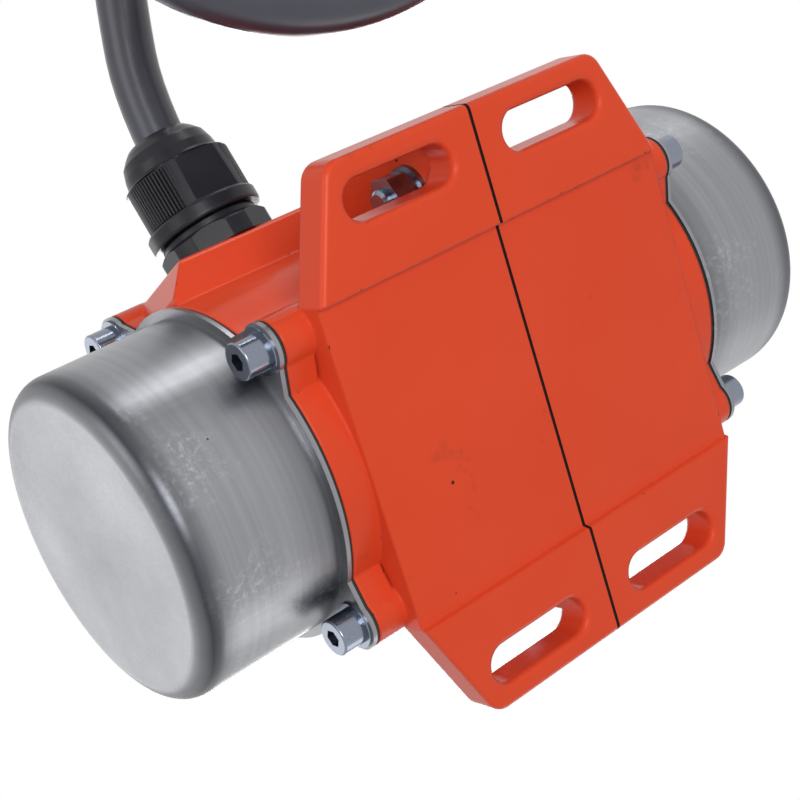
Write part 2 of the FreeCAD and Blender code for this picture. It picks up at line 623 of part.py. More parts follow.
def tube_along(points, radius):
    """Tube of straight runs joined by tangent arcs; returns the solid and the arcs' radii."""
    edges, radii, here = [], [], points[0]
    for i in range(1, len(points) - 1):
        p, a, b = points[i], points[i - 1], points[i + 1]
        u, w = (a - p), (b - p)
        lu, lw = u.Length, w.Length
        u.normalize()
        w.normalize()
        turn = math.pi - u.getAngle(w)
        reach = 0.45 * min(lu, lw)
        rad = reach / math.tan(turn / 2)
        radii.append(rad)
        t0, t1 = p + u * reach, p + w * reach
        bis = (u + w).normalize()
        centre = p + bis * (rad / math.cos(turn / 2))
        mid = centre - bis * rad
        edges += [Part.makeLine(here, t0), Part.Arc(t0, mid, t1).toShape()]
        here = t1
    edges.append(Part.makeLine(here, points[-1]))
    path = Part.Wire(edges)
    start = (points[1] - points[0]).normalize()
    profile = Part.Wire([Part.makeCircle(radius, points[0], start)])
    solid = path.makePipeShell([profile], True, False)
    return solid, radii, path.Length


def build():
    near, far = housing(True), mirror_x(housing(False))
    export("housing_gland_half", near)
    export("housing_plain_half", far)
    sides = {"near": lambda s: s, "far": mirror_x}
    screws, lock, flat = cap_fasteners()
    for side, place in sides.items():
        export(side + "_end_cap", place(cap()))
        export(side + "_cap_gasket", place(gasket()))
        export(side + "_cap_screws", group([place(s) for s in screws]))
        export(side + "_cap_lock_washers", group([place(s) for s in lock]))
        export(side + "_cap_flat_washers", group([place(s) for s in flat]))
        export(side + "_fixed_weight", place(fixed_weight()))
        export(side + "_weight_key", place(key()))
        export(side + "_adjustable_weight", place(moving_weight()))
        export(side + "_weight_clamp_screw", place(clamp_screw()))
        export(side + "_thrust_washer", place(thrust_washer()))
        export(side + "_retaining_ring", place(retaining_ring()))
    for side, x0 in (("near", BRG_X[1]), ("far", BRG_X[-1])):
        outer, inner, balls, cage = bearing(x0)
        export(side + "_bearing_outer_ring", outer)
        export(side + "_bearing_inner_ring", inner)
        export(side + "_bearing_balls", group(balls))
        export(side + "_bearing_cage", cage)
    bolts, nuts, joint_lock, joint_flat = joint_fasteners()
    export("joint_bolts", group(bolts))
    export("joint_nuts", group(nuts))
    export("joint_lock_washers", group(joint_lock))
    export("joint_flat_washers", group(joint_flat))
    export("bearing_wave_spring", wave_spring())
    export("stator_core", stator_core())
    export("stator_winding", stator_winding())
    export("rotor_shaft", shaft())
    export("rotor_core", rotor_core())
    export("rotor_cage", rotor_cage())
    export("gland_body", gland_place(gland_body()))
    export("gland_nut", gland_place(gland_nut()))
    export("gland_seal", gland_place(gland_seal()))
    tail_route = [coil_point(*p) for p in LAST_TURN] + [PLUG_AT]
    for name, route in (("power_cable", ROUTE), ("power_cable_tail", tail_route)):
        tube, radii, length = tube_along(route, CABLE_D / 2)
        print(name, "arcs", [round(r) for r in radii], "length", round(length),
              "volume ratio", round(tube.Volume / (length * math.pi * CABLE_D ** 2 / 4), 4))
        export(name, tube)
    export("power_cable_coil", coil())
    export("plug_body", plug_place(plug_body()))
    export("plug_pins", group([plug_place(p) for p in plug_pins().Solids]))


build()
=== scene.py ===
"""Vibration motor: two enamelled die-cast halves, drawn stainless end caps, a nylon cable gland
and its coiled lead.  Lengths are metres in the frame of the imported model: Z = 0 is the mounting
face, +X runs along the shaft to the gland's end, +Y is the gland's side."""
import json
import math

import bpy
from mathutils import Matrix, Vector


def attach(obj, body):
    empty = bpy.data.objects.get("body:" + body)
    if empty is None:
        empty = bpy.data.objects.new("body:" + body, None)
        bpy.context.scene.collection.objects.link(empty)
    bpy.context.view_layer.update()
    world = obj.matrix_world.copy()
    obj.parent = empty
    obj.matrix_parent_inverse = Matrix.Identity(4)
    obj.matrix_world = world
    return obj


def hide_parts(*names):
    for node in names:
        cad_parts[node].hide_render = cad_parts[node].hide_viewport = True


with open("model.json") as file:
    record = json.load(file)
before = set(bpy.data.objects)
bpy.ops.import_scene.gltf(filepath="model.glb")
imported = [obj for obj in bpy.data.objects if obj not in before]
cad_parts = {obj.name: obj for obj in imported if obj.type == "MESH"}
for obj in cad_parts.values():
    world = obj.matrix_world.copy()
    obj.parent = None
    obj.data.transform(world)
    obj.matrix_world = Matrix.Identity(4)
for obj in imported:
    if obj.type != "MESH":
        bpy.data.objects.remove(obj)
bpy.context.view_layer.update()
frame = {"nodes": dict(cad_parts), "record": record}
nodes = frame["nodes"]
MM = 0.001

# ---- camera: below the mounting face, looking up at the feet and the near end cap --------------
CAMERA_AT = Vector((0.18434, 0.09033, -0.22641))
CAMERA_AIM = Vector((0.02414, 0.00577, 0.01271))
CAMERA_ROLL = -84.87                     # degrees about the line of sight
LENS_MM = 74.0
SENSOR_MM = 36
NEAREST_SEEN = 10 * MM


def add_camera():
    data = bpy.data.cameras.new("camera")
    data.sensor_width = SENSOR_MM
    data.lens = LENS_MM
    data.clip_start = NEAREST_SEEN
    camera = bpy.data.objects.new("camera", data)
    ahead = (CAMERA_AIM - CAMERA_AT).normalized()
    right = ahead.cross(Vector((0, 0, 1))).normalized()
    up = right.cross(ahead)
    level = Matrix((right, up, -ahead)).transposed().to_4x4()
    camera.matrix_world = (Matrix.Translation(CAMERA_AT) @ level
                           @ Matrix.Rotation(math.radians(CAMERA_ROLL), 4, "Z"))
    bpy.context.scene.collection.objects.link(camera)
    bpy.context.scene.camera = camera


add_camera()


# ---- nodes and colours -------------------------------------------------------------------------
def linear(hex_colour):
    """sRGB hex to the linear colour that a shader socket takes."""
    out = []
    for i in (1, 3, 5):
        c = int(hex_colour[i:i + 2], 16) / 255
        out.append(c / 12.92 if c <= 0.04045 else ((c + 0.055) / 1.055) ** 2.4)
    return (*out, 1.0)


def set_inputs(tree, node, inputs):
    """An input takes a plain value, or is linked from a socket or a node's first live output."""
    for name, value in dict(inputs).items():
        if isinstance(value, bpy.types.Node):
            value = next(socket for socket in value.outputs if socket.enabled)
        if isinstance(value, bpy.types.NodeSocket):
            tree.links.new(value, node.inputs[name])
        else:
            node.inputs[name].default_value = value


def add(tree, kind, inputs=(), **settings):
    """One node with its settings and its inputs."""
    node = tree.nodes.new(kind)
    for name, value in settings.items():
        setattr(node, name, value)
    set_inputs(tree, node, inputs)
    return node


def empty_tree(owner):
    """The cleared node tree of a material or a world."""
    owner.use_nodes = True
    owner.node_tree.nodes.clear()
    return owner.node_tree


def new_material(name):
    """A plain material: its tree, its Principled shader and its Object coordinates."""
    mat = bpy.data.materials.new(name)
    tree = empty_tree(mat)
    shader = add(tree, "ShaderNodeBsdfPrincipled")
    add(tree, "ShaderNodeOutputMaterial", {"Surface": shader})
    place = add(tree, "ShaderNodeTexCoord").outputs["Object"]
    return mat, tree, shader, place


def per_mm(size):
    """Texture scale for a feature of this size in millimetres."""
    return 1.0 / (size * MM)


SPOT_RIM = 0.4                           # soft rim of a spot, as a part of its radius
CHANCE_RIM = 0.001                       # keeps the choice of spots sharp


def scattered_spots(tree, place, spacing_mm, radius, share):
    """Mask of round spots: one in each Voronoi cell, of which only a share is kept.  The radius
    is a part of the spacing."""
    cells = add(tree, "ShaderNodeTexVoronoi", {"Vector": place, "Scale": per_mm(spacing_mm)})
    chance = add(tree, "ShaderNodeSeparateColor", {"Color": cells.outputs["Color"]})
    spot = add(tree, "ShaderNodeMapRange", {"Value": cells.outputs["Distance"],
                                            "From Min": radius + radius * SPOT_RIM,
                                            "From Max": radius})
    kept = add(tree, "ShaderNodeMapRange", {"Value": chance, "From Min": share + CHANCE_RIM,
                                            "From Max": share})
    return add(tree, "ShaderNodeMath", {0: spot, 1: kept}, operation="MULTIPLY")


# ---- materials ---------------------------------------------------------------------------------
JOINT_HALF = 0.30 * MM                   # half the width of the dark line where the halves meet
JOINT_RIM = 0.12 * MM                    # over which that line fades out


def orange_enamel():
    """Stoved enamel on die-cast aluminium, with a faint orange peel and softly rounded edges.
    Dark where the halves meet, with casting pits, knocked edges and a few smudges.  Its gloss is
    set weaker than real enamel's, so that white surroundings don't bleach the orange."""
    mat, tree, shader, place = new_material("orange_stoved_enamel")
    drift = add(tree, "ShaderNodeTexNoise", {"Vector": place, "Scale": per_mm(28), "Detail": 2.0})
    colour = add(tree, "ShaderNodeMix", {"Factor": drift, "A": linear("#D84A2B"),
                                         "B": linear("#D14324")}, data_type="RGBA")

    smear = add(tree, "ShaderNodeTexNoise", {"Vector": place, "Scale": per_mm(17), "Detail": 6.0,
                                             "Roughness": 0.7})
    smudge = add(tree, "ShaderNodeMapRange", {"Value": smear, "From Min": 0.63, "From Max": 0.74,
                                              "To Max": 0.45})
    pits = scattered_spots(tree, place, spacing_mm=6.5, radius=0.05, share=0.18)

    # Knocks sit only on sharp edges, where the rounded normal leaves the true one.
    edge = add(tree, "ShaderNodeBevel", {"Radius": 0.8 * MM}, samples=6)
    normal = add(tree, "ShaderNodeNewGeometry").outputs["Normal"]
    flat = add(tree, "ShaderNodeVectorMath", {0: edge, 1: normal}, operation="DOT_PRODUCT")
    worn = add(tree, "ShaderNodeMapRange", {"Value": flat, "From Min": 0.98, "From Max": 0.93})
    grit = add(tree, "ShaderNodeTexNoise", {"Vector": place, "Scale": per_mm(1.8), "Detail": 3.0})
    chips = add(tree, "ShaderNodeMapRange", {"Value": grit, "From Min": 0.66, "From Max": 0.70})
    knocks = add(tree, "ShaderNodeMath", {0: worn, 1: chips}, operation="MULTIPLY")

    along = add(tree, "ShaderNodeSeparateXYZ", {"Vector": place}).outputs["X"]
    from_joint = add(tree, "ShaderNodeMath", {0: along}, operation="ABSOLUTE")
    joint = add(tree, "ShaderNodeMapRange", {"Value": from_joint,
                                             "From Min": JOINT_HALF + JOINT_RIM,
                                             "From Max": JOINT_HALF})
    for mask, shade in ((smudge, "#7E3A26"), (pits, "#4A1A10"), (knocks, "#3A1C14"),
                        (joint, "#120806")):
        colour = add(tree, "ShaderNodeMix", {"Factor": mask, "A": colour, "B": linear(shade)},
                     data_type="RGBA")

    peel = add(tree, "ShaderNodeTexNoise", {"Vector": place, "Scale": per_mm(1.1), "Detail": 1.0})
    bump = add(tree, "ShaderNodeBump", {"Height": peel, "Strength": 0.10, "Distance": 0.05 * MM,
                                        "Normal": edge})
    gloss = add(tree, "ShaderNodeMapRange", {"Value": drift, "To Min": 0.22, "To Max": 0.29})
    rough = add(tree, "ShaderNodeMath", {0: joint, 1: 0.6, 2: gloss}, operation="MULTIPLY_ADD",
                use_clamp=True)
    set_inputs(tree, shader, {"Base Color": colour, "Roughness": rough, "Normal": bump,
                              "IOR": 1.46, "Specular IOR Level": 0.15})
    return mat


# Painted reflection along the cap, from the flange's side to the flat face: the dark bands beside
# the flange and round the corner stand for dark surroundings that the bright sheet mirrors there.
# They are painted into the colour, so they don't move with the light.
CAP_FROM = 48 * MM
CAP_TO = 80.5 * MM
CAP_PAINTED_REFLECTIONS = ((0.0, "#FFFFFF"), (0.08, "#F2F2F2"), (0.12, "#C0C0C2"), (0.22, "#DADADB"),
              (0.36, "#F6F6F6"), (0.777, "#F4F4F4"), (0.885, "#A6A7AA"), (0.935, "#707176"),
              (0.978, "#C6C6C7"), (1.0, "#FFFFFF"))


def stainless_cap():
    """Deep-drawn stainless sheet: satin, with draw lines, hoop marks and dull greasy scuffs, and
    painted reflections: dark bands round the corner and beside the flange."""
    mat, tree, shader, place = new_material("deep_drawn_stainless")
    along = add(tree, "ShaderNodeSeparateXYZ", {"Vector": place}).outputs["X"]
    out = add(tree, "ShaderNodeMath", {0: along}, operation="ABSOLUTE")
    ripple = add(tree, "ShaderNodeTexNoise", {"Vector": place, "Scale": per_mm(30), "Detail": 3.0})
    wavy = add(tree, "ShaderNodeMath", {0: ripple, 1: 1.6 * MM, 2: out}, operation="MULTIPLY_ADD")
    way = add(tree, "ShaderNodeMapRange", {"Value": wavy, "From Min": CAP_FROM,
                                           "From Max": CAP_TO})
    # Painted reflection: dark bands along the cap, multiplied into the steel's colour further down.
    painted_reflection_ramp = add(tree, "ShaderNodeValToRGB", {"Fac": way})
    stops = painted_reflection_ramp.color_ramp.elements
    while len(stops) < len(CAP_PAINTED_REFLECTIONS):
        stops.new(0.5)
    for stop, (at, shade) in zip(stops, CAP_PAINTED_REFLECTIONS):
        stop.position = at
        stop.color = linear(shade)

    # Both sets of lines are finer on real sheet, and are drawn coarse enough to show.
    lengthwise = add(tree, "ShaderNodeMapping", {"Vector": place, "Scale": (0.05, 1.0, 1.0)})
    lines = add(tree, "ShaderNodeTexNoise", {"Vector": lengthwise, "Scale": per_mm(0.7),
                                             "Detail": 5.0})
    round_cap = add(tree, "ShaderNodeMapping", {"Vector": place, "Scale": (1.0, 0.02, 0.02)})
    hoops = add(tree, "ShaderNodeTexNoise", {"Vector": round_cap, "Scale": per_mm(1.4),
                                             "Detail": 4.0})
    cloud = add(tree, "ShaderNodeTexNoise", {"Vector": place, "Scale": per_mm(22), "Detail": 5.0,
                                             "Roughness": 0.55})
    patch = add(tree, "ShaderNodeMapRange", {"Value": cloud, "From Min": 0.53, "From Max": 0.66})
    rubbing = add(tree, "ShaderNodeTexNoise", {"Vector": place, "Scale": per_mm(1.2),
                                               "Detail": 6.0, "Roughness": 0.75})
    crumbs = add(tree, "ShaderNodeMapRange", {"Value": rubbing, "From Min": 0.50,
                                              "From Max": 0.72})
    scuff = add(tree, "ShaderNodeMath", {0: patch, 1: crumbs}, operation="MULTIPLY")
    pits = scattered_spots(tree, place, spacing_mm=5.0, radius=0.04, share=0.10)

    tone = add(tree, "ShaderNodeMapRange", {"Value": hoops, "From Min": 0.3, "From Max": 0.7})
    steel = add(tree, "ShaderNodeMix", {"Factor": tone, "A": linear("#8E8F93"),
                                        "B": linear("#9A9B9F")}, data_type="RGBA")
    for mask, shade in ((scuff, "#BEBEBD"), (pits, "#505256")):
        steel = add(tree, "ShaderNodeMix", {"Factor": mask, "A": steel, "B": linear(shade)},
                    data_type="RGBA")
    # The steel's colour, darkened by the painted reflection bands.
    colour = add(tree, "ShaderNodeMix", {"Factor": 1.0, "A": steel, "B": painted_reflection_ramp},
                 data_type="RGBA", blend_type="MULTIPLY")

    satin = add(tree, "ShaderNodeMapRange", {"Value": lines, "To Min": 0.30, "To Max": 0.42})
    rough = add(tree, "ShaderNodeMath", {0: scuff, 1: 0.25, 2: satin}, operation="MULTIPLY_ADD")
    scored = add(tree, "ShaderNodeBump", {"Height": lines, "Strength": 0.08,
                                          "Distance": 0.02 * MM})
    bump = add(tree, "ShaderNodeBump", {"Height": scuff, "Strength": 0.3, "Distance": 0.03 * MM,
                                        "Normal": scored})
    set_inputs(tree, shader, {"Base Color": colour, "Metallic": 1.0, "Roughness": rough,
                              "Normal": bump})
    return mat


def plain_metal(name, shades, roughness, grain_mm, bump_mm=0.01):
    """Machined, cast or plated metal: two close shades, and a grain in its roughness and its
    surface that is drawn as coarse as it needs to show."""
    mat, tree, shader, place = new_material(name)
    grain = add(tree, "ShaderNodeTexNoise", {"Vector": place, "Scale": per_mm(grain_mm),
                                             "Detail": 4.0})
    colour = add(tree, "ShaderNodeMix", {"Factor": grain, "A": linear(shades[0]),
                                         "B": linear(shades[1])}, data_type="RGBA")
    rough = add(tree, "ShaderNodeMapRange", {"Value": grain, "To Min": roughness[0],
                                             "To Max": roughness[1]})
    bump = add(tree, "ShaderNodeBump", {"Height": grain, "Strength": 0.2,
                                        "Distance": bump_mm * MM})
    set_inputs(tree, shader, {"Base Color": colour, "Metallic": 1.0, "Roughness": rough,
                              "Normal": bump})
    return mat


def black_polymer(name, shades, roughness, grain_mm, bump_mm, gloss=0.5):
    """Moulded or extruded black plastic or rubber: a soft sheen that dust makes uneven, over a
    grain drawn as coarse as it needs to show, with edges rounded enough to catch the light."""
    mat, tree, shader, place = new_material(name)
    grain = add(tree, "ShaderNodeTexNoise", {"Vector": place, "Scale": per_mm(grain_mm),
                                             "Detail": 3.0})
    dust = add(tree, "ShaderNodeTexNoise", {"Vector": place, "Scale": per_mm(9), "Detail": 4.0})
    colour = add(tree, "ShaderNodeMix", {"Factor": dust, "A": linear(shades[0]),
                                         "B": linear(shades[1])}, data_type="RGBA")
    rough = add(tree, "ShaderNodeMapRange", {"Value": dust, "To Min": roughness[0],
                                             "To Max": roughness[1]})
    edge = add(tree, "ShaderNodeBevel", {"Radius": 0.35 * MM}, samples=4)
    bump = add(tree, "ShaderNodeBump", {"Height": grain, "Strength": 0.25,
                                        "Distance": bump_mm * MM, "Normal": edge})
    set_inputs(tree, shader, {"Base Color": colour, "Roughness": rough, "Normal": bump,
                              "IOR": 1.5, "Specular IOR Level": gloss})
    return mat


FINISHES = {
    "orange_enamel": orange_enamel(),
    "stainless_cap": stainless_cap(),
    # Bluish passivated zinc with clear reflections.
    "zinc_fasteners": plain_metal("bright_zinc_plate", ("#747A87", "#8E94A1"),
                                  roughness=(0.18, 0.28), grain_mm=0.25, bump_mm=0.004),
    # Dull and neutral, nearly without highlights.
    "black_rubber": black_polymer("black_nitrile_rubber", ("#141414", "#1C1C1C"),
                                  roughness=(0.6, 0.75), grain_mm=0.3, bump_mm=0.02),
    # Deep black, with a tight sheen that is set fainter than real nylon's.
    "black_nylon": black_polymer("black_nylon_66", ("#1B1B20", "#27272D"),
                                 roughness=(0.24, 0.34), grain_mm=0.25, bump_mm=0.015, gloss=0.22),
    # Bluish black, with a soft bright line along the sheath.
    "black_pvc": black_polymer("black_pvc_sheath", ("#2D2E38", "#393A46"),
                               roughness=(0.28, 0.38), grain_mm=0.5, bump_mm=0.03, gloss=0.6),
    # Warm, pale and smooth.
    "nickel_brass": plain_metal("nickel_plated_brass", ("#B9B4A6", "#CBC7BB"),
                                roughness=(0.15, 0.25), grain_mm=1.0),
    # Clean and bright, with a fine ground grain.
    "bright_steel": plain_metal("ground_bearing_steel", ("#9FA0A3", "#B4B5B8"),
                                roughness=(0.18, 0.30), grain_mm=0.4),
    # Yellowish and half matt.
    "plated_weight": plain_metal("zinc_plated_weight", ("#8E8C80", "#A6A497"),
                                 roughness=(0.35, 0.5), grain_mm=0.8),
    # Dark sheet edges, half matt under their varnish.
    "lamination_steel": plain_metal("varnished_laminations", ("#4C4D50", "#5E5F63"),
                                    roughness=(0.4, 0.55), grain_mm=0.5, bump_mm=0.03),
    # Reddish brown, with a deep grain as coarse as the wires.
    "copper_winding": plain_metal("enamelled_copper", ("#8E4420", "#A9582C"),
                                  roughness=(0.3, 0.45), grain_mm=0.45, bump_mm=0.12),
    # Pale and half matt, as it leaves the die.
    "cast_aluminium": plain_metal("cast_aluminium", ("#A2A3A5", "#B8B9BB"),
                                  roughness=(0.4, 0.55), grain_mm=0.7, bump_mm=0.04),
}


def dress(obj, finish):
    obj.data.materials.clear()
    obj.data.materials.append(FINISHES[finish])


for part in frame["record"]["subparts"]:
    dress(nodes[part["node"]], part["material_slot"])


# ---- pieces that repeat ------------------------------------------------------------------------
def sized_tree(name, sizes):
    """A Geometry Nodes tree with a named input for each size, and the sockets of those inputs."""
    tree = bpy.data.node_groups.new(name, "GeometryNodeTree")
    for size, value in sizes.items():
        kind = "NodeSocketInt" if isinstance(value, int) else "NodeSocketFloat"
        tree.interface.new_socket(size, in_out="INPUT", socket_type=kind)
    tree.interface.new_socket("Geometry", in_out="OUTPUT", socket_type="NodeSocketGeometry")
    return tree, add(tree, "NodeGroupInput").outputs


def built(name, tree, sizes, place):
    """Plain mesh object from a Geometry Nodes tree, with its place in its mesh."""
    holder = bpy.data.objects.new(name + "_holder", bpy.data.meshes.new(name + "_holder"))
    bpy.context.scene.collection.objects.link(holder)
    modifier = holder.modifiers.new(name, "NODES")
    modifier.node_group = tree
    for item in tree.interface.items_tree:
        if item.in_out == "INPUT":
            modifier[item.identifier] = sizes[item.name]
    evaluated = holder.evaluated_get(bpy.context.evaluated_depsgraph_get())
    mesh = bpy.data.meshes.new_from_object(evaluated)
    mesh.name = name
    mesh.transform(place)
    bpy.data.objects.remove(holder)
    obj = bpy.data.objects.new(name, mesh)
    bpy.context.scene.collection.objects.link(obj)
    return obj


# ---- grip of the gland's nut: three ribbed arcs between its plain flats ------------------------
# The gland's axis rises from the shaft's axis towards +Y; these lengths are in millimetres.
SHAFT_Z = 36.0
GLAND_X = 26.9
GLAND_TILT = 24.0                        # degrees above the horizontal
GLAND_SEAT = 39.2                        # where the gland stands on its platform
NUT_RIBS = {"Sectors": 3, "Ribs": 15, "Pitch": math.radians(3.8), "First": math.radians(31),
            "Radius": 10.75 * MM, "Width": 0.42 * MM, "Depth": 1.1 * MM, "Length": 9.0 * MM,
            "Height": 13.85 * MM}


def on_gland_axis(distance):
    tilt = math.radians(GLAND_TILT)
    return (GLAND_X, distance * math.cos(tilt), SHAFT_Z + distance * math.sin(tilt))


def rib_tree():
    """Upright bars in evenly spaced sectors round the Z axis."""
    tree, size = sized_tree("ribbed_grip", NUT_RIBS)
    total = add(tree, "ShaderNodeMath", {0: size["Sectors"], 1: size["Ribs"]},
                operation="MULTIPLY")

    # Which sector a bar is in, and how many steps it stands from the middle of that sector.
    index = add(tree, "GeometryNodeInputIndex")
    share = add(tree, "ShaderNodeMath", {0: index, 1: size["Ribs"]}, operation="DIVIDE")
    sector = add(tree, "ShaderNodeMath", {0: share}, operation="FLOOR")
    place = add(tree, "ShaderNodeMath", {0: index, 1: size["Ribs"]}, operation="MODULO")
    gaps = add(tree, "ShaderNodeMath", {0: size["Ribs"], 1: 1.0}, operation="SUBTRACT")
    middle = add(tree, "ShaderNodeMath", {0: gaps, 1: 0.5}, operation="MULTIPLY")
    steps = add(tree, "ShaderNodeMath", {0: place, 1: middle}, operation="SUBTRACT")

    # The bar's angle: the first sector's middle, the turn to its own sector, then its steps.
    offset = add(tree, "ShaderNodeMath", {0: steps, 1: size["Pitch"]}, operation="MULTIPLY")
    apart = add(tree, "ShaderNodeMath", {0: 2 * math.pi, 1: size["Sectors"]}, operation="DIVIDE")
    turned = add(tree, "ShaderNodeMath", {0: apart, 1: sector}, operation="MULTIPLY")
    bearing = add(tree, "ShaderNodeMath", {0: turned, 1: offset}, operation="ADD")
    angle = add(tree, "ShaderNodeMath", {0: bearing, 1: size["First"]}, operation="ADD")

    cosine = add(tree, "ShaderNodeMath", {0: angle}, operation="COSINE")
    sine = add(tree, "ShaderNodeMath", {0: angle}, operation="SINE")
    x = add(tree, "ShaderNodeMath", {0: cosine, 1: size["Radius"]}, operation="MULTIPLY")
    y = add(tree, "ShaderNodeMath", {0: sine, 1: size["Radius"]}, operation="MULTIPLY")
    at = add(tree, "ShaderNodeCombineXYZ", {"X": x, "Y": y, "Z": size["Height"]})
    points = add(tree, "GeometryNodePoints", {"Count": total, "Position": at})
    box = add(tree, "ShaderNodeCombineXYZ", {"X": size["Depth"], "Y": size["Width"],
                                             "Z": size["Length"]})
    bar = add(tree, "GeometryNodeMeshCube", {"Size": box})
    facing = add(tree, "ShaderNodeCombineXYZ", {"Z": angle})
    bars = add(tree, "GeometryNodeInstanceOnPoints", {"Points": points, "Instance": bar,
                                                      "Rotation": facing})
    solid = add(tree, "GeometryNodeRealizeInstances", {"Geometry": bars})
    finished = add(tree, "GeometryNodeSetMaterial", {"Geometry": solid,
                                                     "Material": FINISHES["black_nylon"]})
    add(tree, "NodeGroupOutput", {"Geometry": finished})
    return tree


on_platform = (Matrix.Translation([c * MM for c in on_gland_axis(GLAND_SEAT)])
               @ Matrix.Rotation(math.radians(GLAND_TILT) - math.pi / 2, 4, "X"))
ribs = built("gland_nut_ribs", rib_tree(), NUT_RIBS, on_platform)
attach(ribs, "housing")

# ---- rings of the plug's strain relief, on its tapered neck ------------------------------------
PLUG_AT = (78.3, 182.0, 13.0)            # where the lead ends in the plug, in millimetres
PLUG_TURN = -5.0                         # degrees, the plug's axis from +Y towards +X
RELIEF_RINGS = {"Rings": 5, "Pitch": 2.7 * MM, "First": 2.0 * MM, "Radius": 5.5 * MM,
                "Growth": 0.052, "Tube": 0.85 * MM}


def ring_tree():
    """Moulded rings in a row along the Z axis, each a little wider than the last."""
    tree, size = sized_tree("strain_relief", RELIEF_RINGS)
    index = add(tree, "GeometryNodeInputIndex")
    along = add(tree, "ShaderNodeMath", {0: index, 1: size["Pitch"]}, operation="MULTIPLY")
    height = add(tree, "ShaderNodeMath", {0: along, 1: size["First"]}, operation="ADD")
    at = add(tree, "ShaderNodeCombineXYZ", {"Z": height})
    points = add(tree, "GeometryNodePoints", {"Count": size["Rings"], "Position": at})
    hoop = add(tree, "GeometryNodeCurvePrimitiveCircle", {"Resolution": 48,
                                                          "Radius": size["Radius"]})
    tube = add(tree, "GeometryNodeCurvePrimitiveCircle", {"Resolution": 12,
                                                          "Radius": size["Tube"]})
    ring = add(tree, "GeometryNodeCurveToMesh", {"Curve": hoop, "Profile Curve": tube})
    growth = add(tree, "ShaderNodeMath", {0: index, 1: size["Growth"]}, operation="MULTIPLY")
    wider = add(tree, "ShaderNodeMath", {0: growth, 1: 1.0}, operation="ADD")
    scale = add(tree, "ShaderNodeCombineXYZ", {"X": wider, "Y": wider, "Z": 1.0})
    rings = add(tree, "GeometryNodeInstanceOnPoints", {"Points": points, "Instance": ring,
                                                       "Scale": scale})
    solid = add(tree, "GeometryNodeRealizeInstances", {"Geometry": rings})
    smooth = add(tree, "GeometryNodeSetShadeSmooth", {"Geometry": solid})
    finished = add(tree, "GeometryNodeSetMaterial", {"Geometry": smooth,
                                                     "Material": FINISHES["black_pvc"]})
    add(tree, "NodeGroupOutput", {"Geometry": finished})
    return tree


behind_plug = (Matrix.Translation([c * MM for c in PLUG_AT])
               @ Matrix.Rotation(math.radians(PLUG_TURN), 4, "Z")
               @ Matrix.Rotation(-math.pi / 2, 4, "X"))
relief = built("plug_relief_rings", ring_tree(), RELIEF_RINGS, behind_plug)
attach(relief, "housing")

# ---- the lead: out of the gland, over and down into its coil, then up to the plug --------------
LEAD_DIAMETER = 10.0 * MM
# Distances along the gland's axis: the lead starts inside, leaves at the face, then bends.
LEAD_START = 47.0
LEAD_BENDS = 71.0
COIL_CENTRE = (9.5, 131.5)
OUTER_TURN = 57.0                        # radii at the middle of the lead
INNER_TURN = 46.4
ON_FLOOR = 5.2                           # height of the lead's middle where it lies down
ROUTE_FREE = [(21.5, 88.5, 67.3), (15, 114, 66), (8, 140, 60), (5.9, 168.1, 50),
              (-9.7, 194.5, 38), (-37.4, 205.3, 25.5), (-66.1, 196.8, 13.5),
              (-85.5, 171.9, 6.5), (-87.8, 139.7, ON_FLOOR), (-71.1, 111.9, ON_FLOOR),
              (-40, 98.2, ON_FLOOR), (-19.4, 81.4, ON_FLOOR)]
# Turns that lie down: first angle, last angle and step in degrees, first and last radius.
FLOOR_TURNS = [(265, 490, 25, OUTER_TURN, OUTER_TURN), (490, 610, 24, OUTER_TURN, INNER_TURN),
               (610, 780, 24, INNER_TURN, INNER_TURN)]
# The last turn climbs onto the others and leaves outwards: angle in degrees, radius, height.
LAST_TURN = [(75, INNER_TURN, 6.0), (96.9, 47.7, 9.8), (118.4, 48.9, 12.8), (140.7, 50.1, 14.7),
             (165.2, 51.8, 15.4), (189.8, 53.0, 15.4), (214.8, 53.5, 14.8), (239.9, 53.0, 14.2),
             (265, 52.0, 14.2), (290, 52.0, 14.2), (313, 52.0, 14.2), (334, 53.0, 14.6),
             (352, 57.5, 15.2), (9, 65.0, 12.4), (24, 73.5, 8.8)]


def on_coil(angle, radius, z):
    a = math.radians(angle)
    return (COIL_CENTRE[0] + radius * math.cos(a), COIL_CENTRE[1] + radius * math.sin(a), z)


def turn(start, stop, step, radius_from, radius_to):
    """Points round the coil where it lies down, its radius changing evenly."""
    count = round((stop - start) / step)
    return [on_coil(start + step * i, radius_from + (radius_to - radius_from) * i / count,
                    ON_FLOOR) for i in range(count)]


def round_lead(name, points_mm, radius):
    """A NURBS curve with a round section, led by its points."""
    curve = bpy.data.curves.new(name, "CURVE")
    curve.dimensions = "3D"
    curve.resolution_u = 8
    curve.bevel_depth = radius
    curve.bevel_resolution = 6
    curve.use_fill_caps = True
    spline = curve.splines.new("NURBS")
    spline.points.add(len(points_mm) - 1)
    for point, (x, y, z) in zip(spline.points, points_mm):
        point.co = (x * MM, y * MM, z * MM, 1.0)
    spline.order_u = 3
    spline.use_endpoint_u = True
    obj = bpy.data.objects.new(name, curve)
    bpy.context.scene.collection.objects.link(obj)
    return obj


lead_points = [on_gland_axis(LEAD_START), on_gland_axis(LEAD_BENDS)] + ROUTE_FREE
for floor_turn in FLOOR_TURNS:
    lead_points += turn(*floor_turn)
lead_points += [on_coil(*p) for p in LAST_TURN] + [PLUG_AT]
lead = round_lead("supply_lead", lead_points, LEAD_DIAMETER / 2)
dress(lead, "black_pvc")
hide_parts("power_cable", "power_cable_coil", "power_cable_tail")
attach(lead, "housing")

